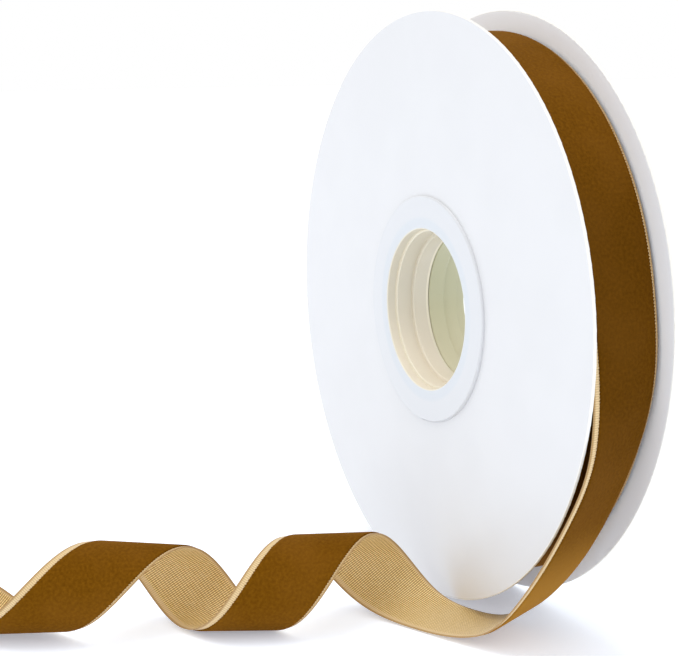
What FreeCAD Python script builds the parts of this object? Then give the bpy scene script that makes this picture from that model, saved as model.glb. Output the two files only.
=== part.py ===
import FreeCAD, Part
import math
import os

import Sketcher

# Ribbon spool: two paperboard flanges clamped to a cardboard core by two pressed-in plastic hub plugs,
# wound with velvet ribbon. Millimetres. The origin is the centre of the bore, +Y is the axis the spool
# turns on, and the spool stands on the rims of its flanges.

Vector = FreeCAD.Vector
spoolAxis = Vector(0, 1, 0)

drivingSizes = {
    "flangeDiameter": 150.0,
    "flangeBoard": 0.9,        # thickness of one flange
    "flangeEdge": 0.2,         # radius on the pressed rim of the board
    "flangeHoleClearance": 0.15,
    "ribbonWidth": 19.0,
    "ribbonThickness": 0.7,
    "sideShare": 0.0395,       # clearance between the ribbon's edge and each flange, as a share of its width
    "windingMargin": 6.75,     # how far the flanges stand above the wound roll
    "boreDiameter": 38.1,      # 1.5 inch dispenser rod
    "stepDepth": 7.1,          # from the mouth to the narrowest part of the bore
    "stepRise": 1.0,           # from the bore's wall out to the ring before it
    "ringDepth": 2.6,          # from the mouth to that ring
    "ringRise": 0.65,
    "bevelDepth": 0.1,         # the collar slopes into the mouth by this much
    "bevelWidth": 3.0,
    "collarWidth": 5.5,        # the collar's flat
    "collarProud": 0.8,        # how far the collar stands off the flange
    "collarEdge": 0.45,
    "boreEdge": 0.35,
    "sleeveWall": 2.0,         # at the mouth, where the sleeve is thinnest
    "tubeWall": 2.5,
    "plugGap": 0.1,            # between the ends of the two plugs
    "lapClearance": 0.3,       # between the roll and the start of the last lap
    "climbClearance": 0.05,    # between the start of the last lap and the ribbon that leaves over it
    "lapAngle": 340.0,         # how much of the roll the last lap wraps
    "takeOffAngle": 25.0,      # above the horizontal, where the ribbon leaves the roll
    "tapeThickness": 0.1,
    "tapeClearance": 0.05,
    "tapeWidth": 15.0,
    "tapeAngle": 60.0,
}

# sizes that follow from the driving ones, so that pieces which fit together change together
fittedSizes = {
    "flangeGap": "ribbonWidth + 2 * ribbonWidth * sideShare",
    "ringDiameter": "boreDiameter + 2 * stepRise",
    "mouthDiameter": "boreDiameter + 2 * ( stepRise + ringRise )",
    "bevelDiameter": "boreDiameter + 2 * ( stepRise + ringRise + bevelWidth )",
    "collarDiameter": "boreDiameter + 2 * ( stepRise + ringRise + bevelWidth + collarWidth )",
    "sleeveDiameter": "boreDiameter + 2 * ( stepRise + ringRise + sleeveWall )",
    "tubeDiameter": "boreDiameter + 2 * ( stepRise + ringRise + sleeveWall + tubeWall )",
    "sleeveEnd": "collarProud + flangeBoard + ( ribbonWidth - plugGap ) / 2 + ribbonWidth * sideShare",
    "woundDiameter": "flangeDiameter - 2 * windingMargin",
    "lapRise": "ribbonThickness + climbClearance",
    "takeOffRadius": "flangeDiameter / 2 - windingMargin + lapClearance + climbClearance "
                     "+ 1.5 * ribbonThickness",
}

# The free ribbon only bends and never stretches, so its route is given as its bend and its slant:
# distance from the take-off, radius of the bend, and how far the bend line slants along the ribbon
# for each unit across it. Both change evenly from one station to the next. It drops off the roll,
# crosses in front of the flange, meets the floor at about 130, and then lies in a loose left-hand curl.
freeStations = [
    (20, 170, -0.49),
    (45, 47, -0.72),
    (70, 200, 0.19),
    (95, 89, -0.42),
    (115, 22.7, 0.20),
    (130, 145, -0.31),
    (150, 14.7, -0.89),
    (175, 19.5, -0.71),
    (210, 15.2, -0.64),
    (250, 16.2, -0.79),
    (290, 20.9, -0.88),
    (340, 29.5, -1.70),
    (356, 20.0, -0.90),
]
routeFlange = 150.0   # the flange diameter the stations were set out for: the route grows with it
routeWidth = 19.0     # and the ribbon width: a wider ribbon leans out further, which keeps it off the flange
leanShare = 0.64      # how much of the change in width goes into that lean
walkStep = 1.0        # length of one step along the ribbon
ribSpacing = 4        # steps from one cross-section of the free ribbon to the next

spiralArcs = 4
samePlace = 0.01      # edges nearer than this to a given place are the ones meant

doc = FreeCAD.newDocument("RibbonSpool")


def bind(item, path, expression):
    # a size's name in the expression becomes a reference to its cell, or to the fitted size
    words = []
    for word in expression.split(" "):
        if word in drivingSizes:
            word = "Sizes." + word
        elif word in fittedSizes:
            word = "Fits." + word
        words.append(word)
    item.setExpression(path, " ".join(words))


sheet = doc.addObject("Spreadsheet::Sheet", "Sizes")
for row, (name, value) in enumerate(drivingSizes.items(), start=1):
    sheet.set("A%d" % row, name)
    sheet.set("B%d" % row, "%g" % value)
    sheet.setAlias("B%d" % row, name)
doc.recompute()
fits = doc.addObject("App::FeaturePython", "Fits")
for name, formula in fittedSizes.items():
    fits.addProperty("App::PropertyFloat", name)
    bind(fits, name, formula)
doc.recompute()


def size(name):
    return float(getattr(sheet if name in drivingSizes else fits, name))


# ---- PartDesign helpers ----

def newBody(label):
    body = doc.addObject("PartDesign::Body", label)
    body.Label = label
    return body


def newSketch(body, role):
    sketch = body.newObject("Sketcher::SketchObject", body.Name + "Sketch")
    plane = [item for item in body.Origin.OriginFeatures if item.Role == role][0]
    sketch.AttachmentSupport = [(plane, "")]
    sketch.MapMode = "FlatFace"
    return sketch


def addCircle(sketch, diameter):
    # a circle about the sketch's origin, drawn at any size and then bound to an expression
    drawnRadius = 10
    index = sketch.addGeometry(Part.Circle(Vector(0, 0, 0), Vector(0, 0, 1), drawnRadius), False)
    sketch.addConstraint(Sketcher.Constraint("Coincident", index, 3, -1, 1))
    number = sketch.addConstraint(Sketcher.Constraint("Diameter", index, 2 * drawnRadius))
    bind(sketch, "Constraints[%d]" % number, diameter)


def addOutline(sketch, corners):
    # a closed outline of straight lines, drawn as a regular polygon clear of both axes, and then with
    # each corner's distances from the origin bound to expressions
    drawnRadius = 30
    drawnCentre = Vector(40, 40, 0)
    count = len(corners)
    drawn = [drawnCentre + Vector(math.cos(2 * math.pi * i / count), math.sin(2 * math.pi * i / count), 0)
             * drawnRadius for i in range(count)]
    for i in range(count):
        sketch.addGeometry(Part.LineSegment(drawn[i], drawn[(i + 1) % count]), False)
    for i in range(count):
        sketch.addConstraint(Sketcher.Constraint("Coincident", i, 2, (i + 1) % count, 1))
    for i, (across, along) in enumerate(corners):
        number = sketch.addConstraint(Sketcher.Constraint("DistanceX", -1, 1, i, 1, drawn[i].x))
        bind(sketch, "Constraints[%d]" % number, across)
        if along == "0":
            sketch.addConstraint(Sketcher.Constraint("PointOnObject", i, 1, -1))
        else:
            number = sketch.addConstraint(Sketcher.Constraint("DistanceY", -1, 1, i, 1, drawn[i].y))
            bind(sketch, "Constraints[%d]" % number, along)


def roundEdges(body, feature, places, radius):
    # fillets the circular edges at the given places: distance from the axis and position along it
    doc.recompute()
    names = []
    for number, edge in enumerate(feature.Shape.Edges, start=1):
        if not isinstance(edge.Curve, Part.Circle):
            continue
        for reach, along in places:
            if abs(edge.Curve.Radius - reach) < samePlace and abs(edge.Curve.Center.y - along) < samePlace:
                names.append("Edge%d" % number)
    fillet = body.newObject("PartDesign::Fillet", body.Name + "Fillet%d" % len(body.Group))
    fillet.Base = (feature, names)
    bind(fillet, "Radius", radius)
    body.Tip = fillet
    return fillet


# ---- the spool ----

def makeFlange(label, side):
    # a disc of coated board, clamped between a plug's collar and the end of the core
    body = newBody(label)
    sketch = newSketch(body, "XZ_Plane")
    addCircle(sketch, "flangeDiameter")
    addCircle(sketch, "sleeveDiameter + 2 * flangeHoleClearance")
    disc = body.newObject("PartDesign::Pad", label + "Disc")
    disc.Profile = sketch
    disc.Midplane = True
    bind(disc, "Length", "flangeBoard")
    body.Tip = disc
    rim = size("flangeDiameter") / 2
    face = size("flangeBoard") / 2
    roundEdges(body, disc, [(rim, face), (rim, -face)], "flangeEdge")
    bind(body, "Placement.Base.y", "%d * ( flangeGap + flangeBoard ) / 2" % side)
    return body


def makeHubPlug(label, side):
    # a moulded plug turned about +Y: its collar's outer face is at 0 and its sleeve points inwards
    body = newBody(label)
    addOutline(newSketch(body, "XY_Plane"), [
        ("mouthDiameter / 2", "bevelDepth"),
        ("bevelDiameter / 2", "0"),
        ("collarDiameter / 2", "0"),
        ("collarDiameter / 2", "collarProud"),
        ("sleeveDiameter / 2", "collarProud"),
        ("sleeveDiameter / 2", "sleeveEnd"),
        ("boreDiameter / 2", "sleeveEnd"),
        ("boreDiameter / 2", "bevelDepth + stepDepth"),
        ("ringDiameter / 2", "bevelDepth + stepDepth"),
        ("ringDiameter / 2", "bevelDepth + ringDepth"),
        ("mouthDiameter / 2", "bevelDepth + ringDepth"),
    ])
    turned = body.newObject("PartDesign::Revolution", label + "Turned")
    turned.Profile = body.Group[0]
    turned.ReferenceAxis = (body.Group[0], ["V_Axis"])
    turned.Angle = 360
    body.Tip = turned
    collar = roundEdges(body, turned, [(size("collarDiameter") / 2, 0)], "collarEdge")
    mouth = size("bevelDepth")
    roundEdges(body, collar, [
        (size("mouthDiameter") / 2, mouth),
        (size("ringDiameter") / 2, mouth + size("ringDepth")),
        (size("boreDiameter") / 2, mouth + size("stepDepth")),
        (size("boreDiameter") / 2, size("sleeveEnd")),
    ], "boreEdge")
    turn = 0 if side < 0 else 180
    body.Placement = FreeCAD.Placement(Vector(0, 0, 0), FreeCAD.Rotation(Vector(0, 0, 1), turn))
    bind(body, "Placement.Base.y", "%d * ( flangeGap / 2 + flangeBoard + collarProud )" % side)
    return body


def makeCoreTube():
    # a wound cardboard tube between the flanges, which the plugs' sleeves are pressed into
    body = newBody("core_tube")
    sketch = newSketch(body, "XZ_Plane")
    addCircle(sketch, "tubeDiameter")
    addCircle(sketch, "sleeveDiameter")
    wall = body.newObject("PartDesign::Pad", "CoreWall")
    wall.Profile = sketch
    wall.Midplane = True
    bind(wall, "Length", "flangeGap")
    body.Tip = wall
    return body


# ---- wound pieces ----

def makeTape():
    # a strip of double-sided tape on the core, which the inner end of the ribbon is stuck to
    upright = FreeCAD.Rotation(Vector(1, 0, 0), -90)
    outer = doc.addObject("Part::Cylinder", "TapeOutside")
    inner = doc.addObject("Part::Cylinder", "TapeInside")
    bind(outer, "Radius", "tubeDiameter / 2 + tapeClearance + tapeThickness")
    bind(inner, "Radius", "tubeDiameter / 2 + tapeClearance")
    bind(outer, "Angle", "tapeAngle")
    for cylinder in (outer, inner):
        bind(cylinder, "Height", "tapeWidth")
        cylinder.Placement = FreeCAD.Placement(Vector(0, 0, 0), upright)
        bind(cylinder, "Placement.Base.y", "-1 * tapeWidth / 2")
    tape = doc.addObject("Part::Cut", "start_tape")
    tape.Base = outer
    tape.Tool = inner
    tape.Label = "start_tape"
    return tape


def spiralEdges(radius, rise, startAngle, sweep):
    # arcs that wind back from the start angle and close in by the rise over the sweep. Each arc's centre
    # lies on the last radius of the one before, so the curve stays smooth
    part = sweep / spiralArcs
    step = rise / (spiralArcs - 1 - sum(math.cos(part * i) for i in range(1, spiralArcs)))
    centre = Vector(0, 0, 0)
    edges = []
    for index in range(spiralArcs):
        first = startAngle + part * index
        points = [centre + Vector(math.cos(angle), 0, math.sin(angle)) * (radius - step * index)
                  for angle in (first, first + part / 2, first + part)]
        edges.append(Part.Arc(*points).toShape())
        centre = centre + (points[2] - centre).normalize() * step
    return edges, edges[0].valueAt(edges[0].FirstParameter), points[2]


def extrudeWound(label, face):
    # a wound piece is as wide as the ribbon and centred between the flanges
    face.translate(Vector(0, -size("ribbonWidth") / 2, 0))
    piece = doc.addObject("Part::Feature", label)
    piece.Shape = face.extrude(Vector(0, size("ribbonWidth"), 0)).Solids[0]
    piece.Label = label
    piece.Placement = FreeCAD.Placement()
    return piece


def makeRoll():
    # the wound laps as one solid, whose outside climbs by one thickness in a turn and ends in a step
    doc.recompute()
    edges, high, low = spiralEdges(size("woundDiameter") / 2, size("ribbonThickness"),
                                   math.radians(size("takeOffAngle")), 2 * math.pi)
    outline = Part.Wire(edges + [Part.LineSegment(low, high).toShape()])
    inside = size("tubeDiameter") / 2 + size("tapeThickness") + 2 * size("tapeClearance")
    hole = Part.Wire([Part.Circle(Vector(0, 0, 0), spoolAxis, inside).toShape()])
    return extrudeWound("ribbon_roll", Part.Face(outline).cut(Part.Face(hole)))


def makeOuterLap():
    # the last lap climbs from the roll until the take-off, where it lies clear of its own start
    doc.recompute()
    inside = size("takeOffRadius") - size("ribbonThickness") / 2
    wind = (size("lapRise"), math.radians(size("takeOffAngle")), math.radians(size("lapAngle")))
    innerEdges, innerEnd, innerStart = spiralEdges(inside, *wind)
    outerEdges, outerEnd, outerStart = spiralEdges(inside + size("ribbonThickness"), *wind)
    start = Part.LineSegment(outerStart, innerStart).toShape()
    end = Part.LineSegment(innerEnd, outerEnd).toShape()
    outline = Part.Wire(outerEdges + [start] + innerEdges[::-1] + [end])
    return extrudeWound("ribbon_outer_lap", Part.Face(outline))


# ---- the free ribbon ----

def walkFreeRibbon(startRadius, startAngle):
    # follows the ribbon's middle line from the take-off. Each step turns the ribbon's own frame, along it,
    # towards its inside and across it, about the bend line
    growth = size("flangeDiameter") / routeFlange
    lean = 1 + leanShare * (size("ribbonWidth") / routeWidth - 1)
    step = walkStep * growth
    position = Vector(math.cos(startAngle), 0, math.sin(startAngle)) * startRadius
    along = Vector(math.sin(startAngle), 0, -math.cos(startAngle))
    inside = Vector(-math.cos(startAngle), 0, -math.sin(startAngle))
    across = Vector(0, 1, 0)
    stations = [(0, growth / startRadius, 0)]
    stations += [(place, 1 / radius, slant * lean) for place, radius, slant in freeStations]
    ribs = []
    for index in range(int(stations[-1][0] / walkStep) + 1):
        bend, slant = bendAt(stations, index * walkStep)
        ribs.append((position, inside, across + along * slant))
        bend, slant = bendAt(stations, (index + 0.5) * walkStep)
        axis = (along * slant + across) * (bend / growth)
        turn = FreeCAD.Rotation(axis, math.degrees(axis.Length * step))
        before = along
        along = turn.multVec(along)
        inside = turn.multVec(inside)
        across = turn.multVec(across)
        position = position + (before + along) * (step / 2)
    return ribs


def bendAt(stations, place):
    for (near, bend, slant), (far, nextBend, nextSlant) in zip(stations, stations[1:]):
        if place <= far:
            share = (place - near) / (far - near)
            return bend + (nextBend - bend) * share, slant + (nextSlant - slant) * share
    return stations[-1][1], stations[-1][2]


def makeFreeRibbon():
    # a thin closed strip lofted through its bend lines, its last cut slanting along the last of them
    doc.recompute()
    half = size("ribbonThickness") / 2
    reach = size("ribbonWidth") / 2
    ribs = walkFreeRibbon(size("takeOffRadius"), math.radians(size("takeOffAngle")))
    sections = []
    for position, inside, across in ribs[::ribSpacing]:
        corners = [position + across * (reach * side) + inside * (half * depth)
                   for side, depth in ((-1, -1), (1, -1), (1, 1), (-1, 1))]
        sections.append(Part.makePolygon(corners + [corners[0]]))
    strip = doc.addObject("Part::Feature", "ribbon_tail")
    strip.Shape = Part.makeLoft(sections, True, True)
    strip.Label = "ribbon_tail"
    strip.Placement = FreeCAD.Placement()
    return strip


frontFlange = makeFlange("front_flange", -1)
rearFlange = makeFlange("rear_flange", 1)
frontPlug = makeHubPlug("front_hub_plug", -1)
rearPlug = makeHubPlug("rear_hub_plug", 1)
coreTube = makeCoreTube()
startTape = makeTape()
ribbonRoll = makeRoll()
outerLap = makeOuterLap()
freeRibbon = makeFreeRibbon()
pieces = [frontFlange, rearFlange, frontPlug, rearPlug, coreTube, startTape, ribbonRoll, outerLap, freeRibbon]
doc.recompute()

for item in doc.Objects:
    if "Invalid" in item.State or "Error" in item.State:
        raise RuntimeError("%s did not build: %s" % (item.Label, item.State))
os.makedirs("parts", exist_ok=True)
for piece in pieces:
    if piece.Shape.isNull() or not piece.Shape.isValid() or len(piece.Shape.Solids) != 1:
        raise RuntimeError("%s is not one valid solid" % piece.Label)
for piece in pieces:
    piece.Shape.exportStep("parts/%s.step" % piece.Label)
    print("%-18s %10.1f mm3" % (piece.Label, piece.Shape.Volume))
stripLength = freeStations[-1][0] * size("flangeDiameter") / routeFlange
print("free ribbon %.0f mm long, %.1f mm3 by its flat size" % (
    stripLength, stripLength * size("ribbonWidth") * size("ribbonThickness")))
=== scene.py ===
import math
import random

import bmesh
import bpy
from mathutils import Matrix, Quaternion, Vector


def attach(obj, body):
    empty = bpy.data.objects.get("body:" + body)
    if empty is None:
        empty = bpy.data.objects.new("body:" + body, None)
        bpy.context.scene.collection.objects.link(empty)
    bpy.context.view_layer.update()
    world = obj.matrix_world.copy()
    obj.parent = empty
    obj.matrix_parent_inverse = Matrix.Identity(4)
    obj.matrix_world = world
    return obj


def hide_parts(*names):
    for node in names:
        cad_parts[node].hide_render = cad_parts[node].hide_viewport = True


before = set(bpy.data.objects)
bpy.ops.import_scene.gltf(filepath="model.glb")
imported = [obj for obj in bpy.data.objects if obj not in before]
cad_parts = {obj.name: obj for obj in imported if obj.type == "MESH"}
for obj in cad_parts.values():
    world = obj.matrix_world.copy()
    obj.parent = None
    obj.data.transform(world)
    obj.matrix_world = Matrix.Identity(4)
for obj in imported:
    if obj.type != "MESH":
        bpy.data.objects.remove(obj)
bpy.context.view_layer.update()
print("frame loaded:", ", ".join(sorted(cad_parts)))

mm = 0.001
smooth = {"interpolation_type": "SMOOTHSTEP"}   # of a Map Range node, for edges that fade
asColour = {"data_type": "RGBA"}                # of a Mix node: input 0 is the share, 6 and 7 the colours


def colour(code):
    # an sRGB hex code as the linear colour that a shader takes
    channels = [int(code[i:i + 2], 16) / 255 for i in (1, 3, 5)]
    return tuple(c / 12.92 if c <= 0.04045 else ((c + 0.055) / 1.055) ** 2.4 for c in channels) + (1,)


def setInputs(node, inputs):
    # sets each input to a value or links it. A node stands for its first output that is in use
    for name, value in inputs.items():
        if isinstance(value, bpy.types.Node):
            value = next(socket for socket in value.outputs if socket.enabled)
        if isinstance(value, bpy.types.NodeSocket):
            node.id_data.links.new(value, node.inputs[name])
        else:
            node.inputs[name].default_value = value


def addNode(tree, kind, inputs=None, settings=None):
    node = tree.nodes.new("ShaderNode" + kind)
    for name, value in (settings or {}).items():
        setattr(node, name, value)
    setInputs(node, inputs or {})
    return node


def newMaterial(name, values):
    material = bpy.data.materials.new(name)
    material.use_nodes = True
    tree = material.node_tree
    tree.nodes.clear()
    shader = addNode(tree, "BsdfPrincipled", values)
    addNode(tree, "OutputMaterial", {"Surface": shader})
    return material, tree, shader


def axisDistance(tree, place):
    # distance from the axis the spool turns on
    flattened = addNode(tree, "VectorMath", {0: place, 1: (1, 0, 1)}, {"operation": "MULTIPLY"})
    return addNode(tree, "VectorMath", {0: flattened}, {"operation": "LENGTH"}).outputs["Value"]


def paint(node, material):
    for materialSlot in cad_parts[node].material_slots:
        materialSlot.material = material


flange = {
    "face": "#DBDBDC",         # clay-coated white board
    "faceMottle": "#D9D9DA",
    "inner": "#FAFCFF",        # its side towards the ribbon, painted whiter and a little blue: painted light in the shaded pocket between the flanges
    "edge": "#EEECE6",         # the cut edge, where the grey-cream core of the board shows, also painted lighter than the face as a highlight along the rim
    "roughness": 0.38,
    "ior": 1.5,
    "edgeStarts": 74.85 * mm,  # from the axis
    "edgeFade": 0.1 * mm,
    "innerEnds": 10.3 * mm,    # from the middle of the spool
    "innerFade": 0.2 * mm,
    "mottle": 18.18 * mm,      # spacing of the slow unevenness of coated board
    "fibre": 0.4 * mm,
    "fibreDepth": 0.004 * mm,
}


def coatedBoard():
    # calendered coated board: a flat white with a faint soft gloss, painted light on its side towards the
    # ribbon, and a warmer cut edge, also painted lighter as a highlight
    material, tree, shader = newMaterial("coated_board_calendered", {
        "Roughness": flange["roughness"], "IOR": flange["ior"]})
    place = addNode(tree, "TexCoord").outputs["Object"]
    slow = addNode(tree, "TexNoise", {"Vector": place, "Scale": 1 / flange["mottle"]})
    patches = addNode(tree, "MapRange", {"Value": slow, "From Min": 0.3, "From Max": 0.7}, smooth)
    face = addNode(tree, "Mix", {
        0: patches, 6: colour(flange["face"]), 7: colour(flange["faceMottle"])}, asColour)
    height = addNode(tree, "SeparateXYZ", {0: place}).outputs["Y"]
    fromMiddle = addNode(tree, "Math", {0: height}, {"operation": "ABSOLUTE"})
    # painted light: the side towards the ribbon gets the whiter, bluer colour, for the shaded pocket between
    # the flanges
    inside = addNode(tree, "MapRange", {
        "Value": fromMiddle,
        "From Min": flange["innerEnds"] + flange["innerFade"], "From Max": flange["innerEnds"]}, smooth)
    sidesWithPaintedLight = addNode(tree, "Mix", {0: inside, 6: face, 7: colour(flange["inner"])}, asColour)
    # the rim: the warmer colour of the board's core, painted lighter too as a highlight
    rim = addNode(tree, "MapRange", {
        "Value": axisDistance(tree, place),
        "From Min": flange["edgeStarts"] - flange["edgeFade"], "From Max": flange["edgeStarts"]}, smooth)
    board = addNode(tree, "Mix", {0: rim, 6: sidesWithPaintedLight, 7: colour(flange["edge"])}, asColour)
    fibres = addNode(tree, "TexNoise", {"Vector": place, "Scale": 1 / flange["fibre"], "Detail": 3})
    grain = addNode(tree, "Bump", {"Strength": 0.3, "Distance": flange["fibreDepth"], "Height": fibres})
    setInputs(shader, {"Base Color": board, "Normal": grain})
    return material


board = coatedBoard()
for node in ("front_flange", "rear_flange"):
    paint(node, board)
print("flanges painted")


hub = {
    "collar": "#D3D4D6",
    "bevelPaintedShade": "#CDD1D5",        # painted shade, a little blue, on the sloping ring between the collar and the mouth
    "frontBore": ("#D3CCBB", "#EADFCD"),    # the bore's colour at the top, in painted shade, and at the bottom, in painted light
    "rearBore": ("#BBBA99", "#D8D2B2"),
    "boreTop": 4 * mm,         # above the axis, where the painted shade of the bore starts to turn to painted light
    "boreBottom": -18 * mm,
    "roughness": 0.3,
    "ior": 1.59,
    "paintedEdgeHighlight": "#EAE2CD",    # painted highlights along the moulded edges
    # the front plug's edges with painted highlights: how far from the middle of the spool, and how strongly
    # each one shows
    "edges": ((11.85 * mm, 1.0), (9.25 * mm, 0.9), (4.75 * mm, 0.4), (0.65 * mm, 1.0)),
    "edgeCore": 0.1 * mm,      # half the width of an edge, and half the width with its fade
    "edgeReach": 0.36 * mm,
    "bevelEnds": (24.2 * mm, 22.9 * mm),      # from the axis, where the collar starts to turn into the bevel
    "mouthEnds": (21.15 * mm, 20.65 * mm),    # and the bevel into the mouth
}


def mouldedPlastic(name, bore, edges):
    # injection-moulded polystyrene: white and lightly glossy outside, with painted shade on the bevel. Inside
    # the bore, light that has gone through the thin wall to the card behind comes back warmer, painted into
    # its colour, with painted shade at the top of the bore, painted light at its bottom and painted
    # highlights along the edges given
    material, tree, shader = newMaterial(name, {"Roughness": hub["roughness"], "IOR": hub["ior"]})
    place = addNode(tree, "TexCoord").outputs["Object"]
    parts = addNode(tree, "SeparateXYZ", {0: place})
    reach = axisDistance(tree, place)
    # painted shade on the bevel
    bevelShadeShare = addNode(tree, "MapRange", {
        "Value": reach, "From Min": hub["bevelEnds"][0], "From Max": hub["bevelEnds"][1]}, smooth)
    outside = addNode(tree, "Mix", {0: bevelShadeShare, 6: colour(hub["collar"]), 7: colour(hub["bevelPaintedShade"])}, asColour)
    # painted shade at the top of the bore, painted light at the bottom
    boreLightBelow = addNode(tree, "MapRange", {
        "Value": parts.outputs["Z"], "From Min": hub["boreTop"], "From Max": hub["boreBottom"]}, smooth)
    plain = addNode(tree, "Mix", {0: boreLightBelow, 6: colour(bore[0]), 7: colour(bore[1])}, asColour)
    fromMiddle = addNode(tree, "Math", {0: parts.outputs["Y"]}, {"operation": "ABSOLUTE"})
    edgeHighlightShare = 0.0
    # a painted highlight line along each moulded edge
    for edge, strength in edges:
        apart = addNode(tree, "Math", {0: fromMiddle, 1: edge}, {"operation": "SUBTRACT"})
        distance = addNode(tree, "Math", {0: apart}, {"operation": "ABSOLUTE"})
        line = addNode(tree, "MapRange", {
            "Value": distance, "From Min": hub["edgeReach"], "From Max": hub["edgeCore"],
            "To Max": strength}, smooth)
        edgeHighlightShare = addNode(tree, "Math", {0: edgeHighlightShare, 1: line}, {"operation": "MAXIMUM"})
    wall = addNode(tree, "Mix", {0: edgeHighlightShare, 6: plain, 7: colour(hub["paintedEdgeHighlight"])}, asColour)
    inside = addNode(tree, "MapRange", {
        "Value": reach, "From Min": hub["mouthEnds"][0], "From Max": hub["mouthEnds"][1]}, smooth)
    setInputs(shader, {"Base Color": addNode(tree, "Mix", {0: inside, 6: outside, 7: wall}, asColour)})
    return material


paint("front_hub_plug", mouldedPlastic("polystyrene_moulded_front", hub["frontBore"], hub["edges"]))
paint("rear_hub_plug", mouldedPlastic("polystyrene_moulded_rear", hub["rearBore"], ()))


core = {
    "dark": "#A48B6A",
    "light": "#BFA682",
    "roughness": 0.9,
    "fibre": 1.11 * mm,
    "fibreDepth": 0.03 * mm,
}


def woundCard():
    # spirally wound grey-brown card, matt and fibrous
    material, tree, shader = newMaterial("core_card_wound", {"Roughness": core["roughness"]})
    place = addNode(tree, "TexCoord").outputs["Object"]
    fibres = addNode(tree, "TexNoise", {"Vector": place, "Scale": 1 / core["fibre"], "Detail": 4})
    card = addNode(tree, "Mix", {0: fibres, 6: colour(core["dark"]), 7: colour(core["light"])}, asColour)
    grain = addNode(tree, "Bump", {"Distance": core["fibreDepth"], "Height": fibres})
    setInputs(shader, {"Base Color": card, "Normal": grain})
    return material


tape = {
    "film": "#E6DDB8",
    "roughness": 0.12,
    "ior": 1.49,
    "coat": 0.3,
}


def clearTape():
    # polypropylene film, glossy and slightly yellow from its adhesive
    return newMaterial("tape_polypropylene", {
        "Base Color": colour(tape["film"]), "Roughness": tape["roughness"], "IOR": tape["ior"],
        "Coat Weight": tape["coat"]})[0]


paint("core_tube", woundCard())
paint("start_tape", clearTape())
print("hub, core and tape painted")


# lengths in millimetres
ribbon = {
    "width": 19.0,
    "thickness": 0.7,
    "frontPile": 7.8,         # where the pile stops, from the middle line, beside the wide selvedge
    "rearPile": 8.75,         # and beside the narrow one
    "tuft": 0.77,             # distance from one tuft at the edge of the pile to the next
    "tuftReach": 0.13,
    "tuftsRepeat": 900,       # length after which the sizes of the tufts repeat
    "firstTuft": 500,         # place in their list of the tuft at the take-off
    "rib": 0.54,              # distance from one weft rib on the back to the next
    "warp": 0.83,             # and from one warp thread to the next
    "nap": 16.67,             # spacing of the slow changes in how the pile lies
    "wear": 1.25,             # and of the unevenness of the back
    "step": 0.25,             # length of one piece of the mesh along the ribbon
    "rollOutside": 67.6,      # from the axis, where the roll's sides end
    "rollFade": 0.2,
    # along the ribbon from the take-off: where its pile comes to lie flat and darker, partly painted shade
    # between the flanges, and where that ends
    "pressedShadeRise": (-32, 8),
    "pressedShadeFall": (40, 105),
    "pressedShadeOnRoll": 0.12,    # the part of it that the lap on the roll keeps
    "pressedShadeShare": 0.46,
    # the same for a painted sheen where it bends towards the floor
    "paintedSheenRise": (70, 100),
    "paintedSheenFall": (115, 140),
    "paintedSheenShare": 0.8,
    "selvedgeTurns": (8.75, 9.3),    # from the middle line, where its colour starts and ends changing
    "velvet": "#794D08",
    "velvetDark": "#5E3900",
    "velvetWorn": "#85571A",
    # pile pressed flat, with painted shade where the ribbon leaves the roll between the flanges
    "velvetPressedShade": "#3C2200",
    # painted sheen
    "velvetPaintedSheen": "#A0722A",
    "sheen": "#C88A18",
    "back": "#FFE4A0",
    "backWorn": "#EBD3A4",
    "backGroove": "#966A20",
    "selvedgeInner": "#E2C592",
    "selvedgeOuter": "#B18C55",
    "selvedgeLoop": "#7A5A30",    # between the loops of the weft
}

# The free ribbon's route, in millimetres: distance from the take-off, radius of the bend, and
# slant of the bend line
freeStations = [
    (0, 69.65, 0), (20, 170, -0.49), (45, 47, -0.72), (70, 200, 0.19), (95, 89, -0.42), (115, 22.7, 0.20),
    (130, 145, -0.31), (150, 14.7, -0.89), (175, 19.5, -0.71), (210, 15.2, -0.64), (250, 16.2, -0.79),
    (290, 20.9, -0.88), (340, 29.5, -1.70), (356, 20.0, -0.90),
]
lap = {"radius": 69.65, "rise": 0.75, "start": math.radians(25), "sweep": math.radians(340), "arcs": 4}


def bendAt(place):
    for (near, radius, slant), (far, nextRadius, nextSlant) in zip(freeStations, freeStations[1:]):
        if place <= far:
            share = (place - near) / (far - near)
            return 1 / radius + (1 / nextRadius - 1 / radius) * share, slant + (nextSlant - slant) * share
    return 1 / freeStations[-1][1], freeStations[-1][2]


def freeRibs():
    # places along the free ribbon: distance, middle, direction towards the inside, bend line, slant
    angle = lap["start"]
    middle = Vector((math.cos(angle), 0, math.sin(angle))) * lap["radius"]
    along = Vector((math.sin(angle), 0, -math.cos(angle)))
    inside = Vector((-math.cos(angle), 0, -math.sin(angle)))
    across = Vector((0, 1, 0))
    ribs = []
    step = ribbon["step"]
    for index in range(round(freeStations[-1][0] / step) + 1):
        slant = bendAt(index * step)[1]
        ribs.append((index * step, middle, inside, across + along * slant, slant))
        bend, slant = bendAt((index + 0.5) * step)
        axis = (along * slant + across) * bend
        turn = Quaternion(axis.normalized(), axis.length * step)
        before = along
        along, inside, across = turn @ along, turn @ inside, turn @ across
        middle = middle + (before + along) * (step / 2)
    return ribs


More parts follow.
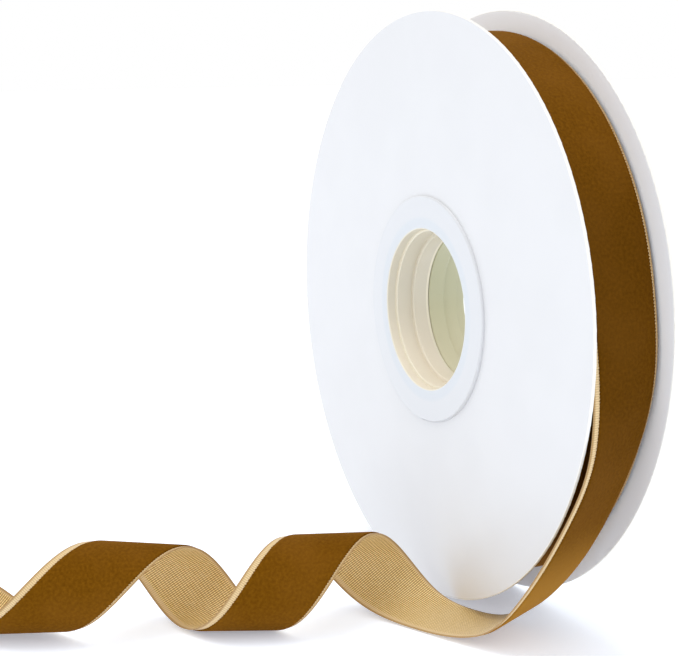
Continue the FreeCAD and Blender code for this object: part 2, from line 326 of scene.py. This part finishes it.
def lapRibs():
    # the same along the last lap, backwards from the take-off: arcs that close in towards the roll
    part = lap["sweep"] / lap["arcs"]
    drop = lap["rise"] / (lap["arcs"] - 1 - sum(math.cos(part * i) for i in range(1, lap["arcs"])))
    centre = Vector((0, 0, 0))
    travelled = 0.0
    ribs = []
    for index in range(lap["arcs"]):
        radius = lap["radius"] - drop * index
        count = round(radius * part / ribbon["step"])
        for number in range(1, count + 1):
            angle = lap["start"] + part * (index + number / count)
            outwards = Vector((math.cos(angle), 0, math.sin(angle)))
            travelled += radius * part / count
            ribs.append((-travelled, centre + outwards * radius, -outwards, Vector((0, 1, 0)), 0.0))
        centre = centre + outwards * drop
    return ribs[::-1]


def crossSection():
    # points round the ribbon, millimetres: across, height towards the inside, share of the tuft's reach,
    # and the material of the face up to the next point (0 velvet, 1 selvedge, 2 back)
    half = ribbon["width"] / 2
    top = -ribbon["thickness"] / 2
    under = ribbon["thickness"] / 2

    def edge(pile):
        # from the ribbon's edge to where the pile is full, as distances from the middle line
        band = half - pile
        return [
            (half, 0.19, 0, 1), (half - 0.05, 0.08, 0, 1), (half - min(0.25, band * 0.4), 0.02, 0, 1),
            (half - band * 0.6, 0.04, 0, 1), (pile, 0.05, 1, 0), (pile - 0.02, -0.12, 1, 0),
            (pile - 0.16, -0.27, 1, 0), (pile - 0.5, top + 0.005, 0.3, 0),
        ]

    front = [(-across, height, tuft, face) for across, height, tuft, face in edge(ribbon["frontPile"])]
    middle = [(across, top, 0, 0) for across in (-6.6, -5, -2.5, 0, 2.5, 5, 7)]
    rear = [(across, height, -tuft, 0 if across < ribbon["rearPile"] else 1)
            for across, height, tuft, _ in edge(ribbon["rearPile"])[::-1]]
    rearUnder = [(half - 0.05, 0.3, 0, 1), (half - 0.3, under, 0, 1)]
    back = [(across, under, 0, 2) for across in (8.6, 6, 3, 0, -3, -6)]
    frontUnder = [(-ribbon["frontPile"], under, 0, 1), (-half + 0.3, under, 0, 1), (-half + 0.05, 0.3, 0, 1)]
    return front + middle + rear + rearUnder + back + frontUnder


def makeRibbon():
    draw = random.Random(11)
    section = crossSection()
    ribs = lapRibs() + freeRibs()
    unevenness = [draw.uniform(0.5, 1.5) for _ in range(int(ribbon["tuftsRepeat"] / ribbon["tuft"]))]
    mesh = bpy.data.meshes.new("velvet_ribbon")
    form = bmesh.new()
    uvLayer = form.loops.layers.uv.new("ribbonPlace")
    rings = []
    places = []
    for distance, middle, inside, line, slant in ribs:
        ring = []
        ringPlaces = []
        for across, height, tuft, _ in section:
            flat = distance + across * slant
            phase = flat / ribbon["tuft"]
            size = unevenness[int(phase + ribbon["firstTuft"]) % len(unevenness)]
            serration = tuft * ribbon["tuftReach"] * size * math.cos(2 * math.pi * phase)
            point = middle + line * (across + serration) + inside * height
            ring.append(form.verts.new(point * mm))
            ringPlaces.append((flat, across))
        rings.append(ring)
        places.append(ringPlaces)
    count = len(section)
    for index in range(len(rings) - 1):
        for corner in range(count):
            following = (corner + 1) % count
            face = form.faces.new((rings[index][corner], rings[index + 1][corner],
                                   rings[index + 1][following], rings[index][following]))
            face.smooth = True
            face.material_index = section[corner][3]
            for loop, place in zip(face.loops, (places[index][corner], places[index + 1][corner],
                                                places[index + 1][following], places[index][following])):
                loop[uvLayer].uv = place
    for ring, ringPlaces in ((rings[0], places[0]), (rings[-1], places[-1])):
        face = form.faces.new(ring)
        face.material_index = 2
        for loop, place in zip(face.loops, ringPlaces):
            loop[uvLayer].uv = place
    bmesh.ops.recalc_face_normals(form, faces=form.faces)
    form.to_mesh(mesh)
    form.free()
    item = bpy.data.objects.new("velvet_ribbon", mesh)
    bpy.context.scene.collection.objects.link(item)
    return item, ribs


def ribbonPlace(tree):
    # along and across the ribbon, millimetres
    place = addNode(tree, "UVMap", settings={"uv_map": "ribbonPlace"})
    parts = addNode(tree, "SeparateXYZ", {0: place})
    return place, parts.outputs["X"], parts.outputs["Y"]


def wave(tree, value, period):
    # 0 to 1 and back once in each period
    phase = addNode(tree, "Math", {0: value, 1: 2 * math.pi / period}, {"operation": "MULTIPLY"})
    turn = addNode(tree, "Math", {0: phase}, {"operation": "COSINE"})
    return addNode(tree, "Math", {0: turn, 1: 0.5, 2: 0.5}, {"operation": "MULTIPLY_ADD"})


def stretchOf(tree, along, rise, fall, least=0.0):
    # a share that rises over one stretch of the ribbon, from the least, and falls over another
    start = addNode(tree, "MapRange", {
        "Value": along, "From Min": rise[0], "From Max": rise[1], "To Min": least}, smooth)
    end = addNode(tree, "MapRange", {"Value": along, "From Min": fall[1], "From Max": fall[0]}, smooth)
    return addNode(tree, "Math", {0: start, 1: end}, {"operation": "MULTIPLY"})


def velvetPile():
    # cut warp pile: deep brown-gold seen end on, lighter along the tips where it is seen from the side
    material, tree, shader = newMaterial("velvet_cut_pile", {
        "Roughness": 0.9, "Specular IOR Level": 0.05, "Sheen Weight": 0.25, "Sheen Roughness": 0.3,
        "Sheen Tint": colour(ribbon["sheen"])})
    place, along, _ = ribbonPlace(tree)
    fine = addNode(tree, "TexNoise", {
        "Vector": place, "Scale": 1 / ribbon["tuft"], "Detail": 3, "Roughness": 0.6})
    tips = addNode(tree, "MapRange", {"Value": fine, "From Min": 0.2, "From Max": 0.85}, smooth)
    pile = addNode(tree, "Mix", {
        0: tips, 6: colour(ribbon["velvetDark"]), 7: colour(ribbon["velvet"])}, asColour)
    nap = addNode(tree, "TexNoise", {"Vector": place, "Scale": 1 / ribbon["nap"]})
    worn = addNode(tree, "MapRange", {
        "Value": nap, "From Min": 0.35, "From Max": 0.7, "To Max": 0.25}, smooth)
    soft = addNode(tree, "Mix", {0: worn, 6: pile, 7: colour(ribbon["velvetWorn"])}, asColour)
    # darker where it is drawn off the roll, from pile pressed flat and from painted shade between the
    # flanges, and a painted sheen where it bends to the floor
    pressedShade = stretchOf(
        tree, along, ribbon["pressedShadeRise"], ribbon["pressedShadeFall"], ribbon["pressedShadeOnRoll"])
    pressedShadeShare = addNode(tree, "Math", {0: pressedShade, 1: ribbon["pressedShadeShare"]}, {"operation": "MULTIPLY"})
    dark = addNode(tree, "Mix", {0: pressedShadeShare, 6: soft, 7: colour(ribbon["velvetPressedShade"])}, asColour)
    # painted sheen where the ribbon bends towards the floor
    paintedSheen = stretchOf(tree, along, ribbon["paintedSheenRise"], ribbon["paintedSheenFall"])
    paintedSheenShare = addNode(tree, "Math", {0: paintedSheen, 1: ribbon["paintedSheenShare"]}, {"operation": "MULTIPLY"})
    light = addNode(tree, "Mix", {0: paintedSheenShare, 6: dark, 7: colour(ribbon["velvetPaintedSheen"])}, asColour)
    tufts = addNode(tree, "Bump", {"Strength": 0.5, "Distance": 0.12 * mm, "Height": fine})
    setInputs(shader, {"Base Color": light, "Normal": tufts})
    return material


def wovenSelvedge():
    # warp-faced edge: a bright cream band beside the pile, and the darker loops of the weft at the outside
    material, tree, shader = newMaterial("selvedge_woven", {
        "Roughness": 0.55, "Sheen Weight": 0.2, "Sheen Roughness": 0.4})
    _, along, across = ribbonPlace(tree)
    out = addNode(tree, "Math", {0: across}, {"operation": "ABSOLUTE"})
    outer = addNode(tree, "MapRange", {
        "Value": out, "From Min": ribbon["selvedgeTurns"][0], "From Max": ribbon["selvedgeTurns"][1]}, smooth)
    band = addNode(tree, "Mix", {
        0: outer, 6: colour(ribbon["selvedgeInner"]), 7: colour(ribbon["selvedgeOuter"])}, asColour)
    loops = wave(tree, along, ribbon["rib"])
    between = addNode(tree, "MapRange", {
        "Value": loops, "From Min": 0.0, "From Max": 0.6, "To Min": 0.35, "To Max": 0.0}, smooth)
    shaded = addNode(tree, "Mix", {0: between, 6: band, 7: colour(ribbon["selvedgeLoop"])}, asColour)
    relief = addNode(tree, "Bump", {"Strength": 0.7, "Distance": 0.08 * mm, "Height": loops})
    setInputs(shader, {"Base Color": shaded, "Normal": relief})
    return material


def wovenBack():
    # satin-like ground cloth: fine weft ribs across it, crossed by the warp
    material, tree, shader = newMaterial("ground_cloth_woven", {
        "Roughness": 0.42, "Specular IOR Level": 0.45, "Sheen Weight": 0.3, "Sheen Roughness": 0.3})
    place, along, across = ribbonPlace(tree)
    ribs = addNode(tree, "MapRange", {
        "Value": wave(tree, along, ribbon["rib"]), "From Min": 0.1, "From Max": 0.9}, smooth)
    threads = addNode(tree, "MapRange", {
        "Value": wave(tree, across, ribbon["warp"]), "From Min": 0.0, "From Max": 0.5,
        "To Min": 0.55}, smooth)
    lattice = addNode(tree, "Math", {0: ribs, 1: threads}, {"operation": "MULTIPLY"})
    cloth = addNode(tree, "Mix", {
        0: lattice, 6: colour(ribbon["backGroove"]), 7: colour(ribbon["back"])}, asColour)
    wear = addNode(tree, "TexNoise", {"Vector": place, "Scale": 1 / ribbon["wear"], "Detail": 3})
    worn = addNode(tree, "MapRange", {
        "Value": wear, "From Min": 0.3, "From Max": 0.75, "To Max": 0.2}, smooth)
    uneven = addNode(tree, "Mix", {0: worn, 6: cloth, 7: colour(ribbon["backWorn"])}, asColour)
    relief = addNode(tree, "Bump", {"Strength": 0.7, "Distance": 0.06 * mm, "Height": lattice})
    setInputs(shader, {"Base Color": uneven, "Normal": relief})
    return material


def woundRibbon():
    # the roll: velvet outside, and on its sides the edges of the laps as fine rings
    material, tree, shader = newMaterial("velvet_wound_roll", {
        "Roughness": 0.85, "Sheen Weight": 0.4, "Sheen Roughness": 0.35,
        "Sheen Tint": colour(ribbon["sheen"])})
    depth = axisDistance(tree, addNode(tree, "TexCoord").outputs["Object"])
    laps = wave(tree, depth, ribbon["thickness"] * mm)
    rings = addNode(tree, "Mix", {
        0: laps, 6: colour(ribbon["velvetDark"]), 7: colour(ribbon["selvedgeOuter"])}, asColour)
    outside = addNode(tree, "MapRange", {
        "Value": depth, "From Min": (ribbon["rollOutside"] - ribbon["rollFade"]) * mm,
        "From Max": ribbon["rollOutside"] * mm}, smooth)
    setInputs(shader, {
        "Base Color": addNode(tree, "Mix", {0: outside, 6: rings, 7: colour(ribbon["velvet"])}, asColour)})
    return material


velvetRibbon, ribs = makeRibbon()
for material in (velvetPile(), wovenSelvedge(), wovenBack()):
    velvetRibbon.data.materials.append(material)
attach(velvetRibbon, "ribbon_end")
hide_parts("ribbon_outer_lap", "ribbon_tail")
paint("ribbon_roll", woundRibbon())
print("ribbon made: %d points, %.0f mm long" % (len(velvetRibbon.data.vertices), ribs[-1][0] - ribs[0][0]))


studio = {
    "floorHeight": -75.0 * mm,
    "floorReach": 3.0,         # metres, to each side
    "floor": "#F1F6FD",
    "floorGlowTint": "#EAF1FF",
    "floorGlow": 0.34,
    "world": 1.0,
    "sun": 0.9,
    "sunAngle": 35,
    "sunDirection": (-0.12, -0.2, 1.0),    # towards the light, as seen from the spool
}


def makeFloor():
    mesh = bpy.data.meshes.new("floor")
    form = bmesh.new()
    reach = studio["floorReach"]
    corners = [form.verts.new((x, y, studio["floorHeight"]))
               for x, y in ((-reach, -reach), (reach, -reach), (reach, reach), (-reach, reach))]
    form.faces.new(corners)
    form.to_mesh(mesh)
    form.free()
    item = bpy.data.objects.new("floor", mesh)
    bpy.context.scene.collection.objects.link(item)
    # bleached paper that glows faintly, as it does lit from all round: only close contact darkens it
    paper = newMaterial("paper_sweep_matt", {
        "Base Color": colour(studio["floor"]), "Roughness": 0.9, "Specular IOR Level": 0.1,
        "Emission Color": colour(studio["floorGlowTint"]), "Emission Strength": studio["floorGlow"]})[0]
    item.data.materials.append(paper)
    return item


def makeLights():
    world = bpy.data.worlds.new("studio")
    world.use_nodes = True
    background = world.node_tree.nodes["Background"]
    background.inputs["Color"].default_value = (1, 1, 1, 1)
    background.inputs["Strength"].default_value = studio["world"]
    bpy.context.scene.world = world
    light = bpy.data.lights.new("key", "SUN")
    light.energy = studio["sun"]
    light.angle = math.radians(studio["sunAngle"])
    item = bpy.data.objects.new("key", light)
    item.rotation_mode = "QUATERNION"
    item.rotation_quaternion = Vector(studio["sunDirection"]).to_track_quat("Z", "Y")
    bpy.context.scene.collection.objects.link(item)


camera = {
    "azimuth": math.radians(64.379),
    "elevation": math.radians(12.935),
    "distance": 413.175 * mm,
    "sideways": -32.45 * mm,
    "upwards": -20.511 * mm,
    "lens": 84.14,
    "shiftUp": 0.0839,
}


def makeCamera():
    azimuth = camera["azimuth"]
    elevation = camera["elevation"]
    back = Vector((math.sin(azimuth) * math.cos(elevation), -math.cos(azimuth) * math.cos(elevation),
                   math.sin(elevation)))
    right = Vector((math.cos(azimuth), math.sin(azimuth), 0))
    up = back.cross(right)
    data = bpy.data.cameras.new("camera")
    data.sensor_width = 36
    data.lens = camera["lens"]
    data.shift_y = camera["shiftUp"]
    data.clip_start = 10 * mm
    item = bpy.data.objects.new("camera", data)
    bpy.context.scene.collection.objects.link(item)
    turn = Matrix((right, up, back)).transposed().to_4x4()
    place = back * camera["distance"] + right * camera["sideways"] + up * camera["upwards"]
    item.matrix_world = Matrix.Translation(place) @ turn
    bpy.context.scene.camera = item


makeFloor()
makeLights()
makeCamera()
bpy.context.scene.view_settings.view_transform = "Standard"
print("floor, light and camera in place")
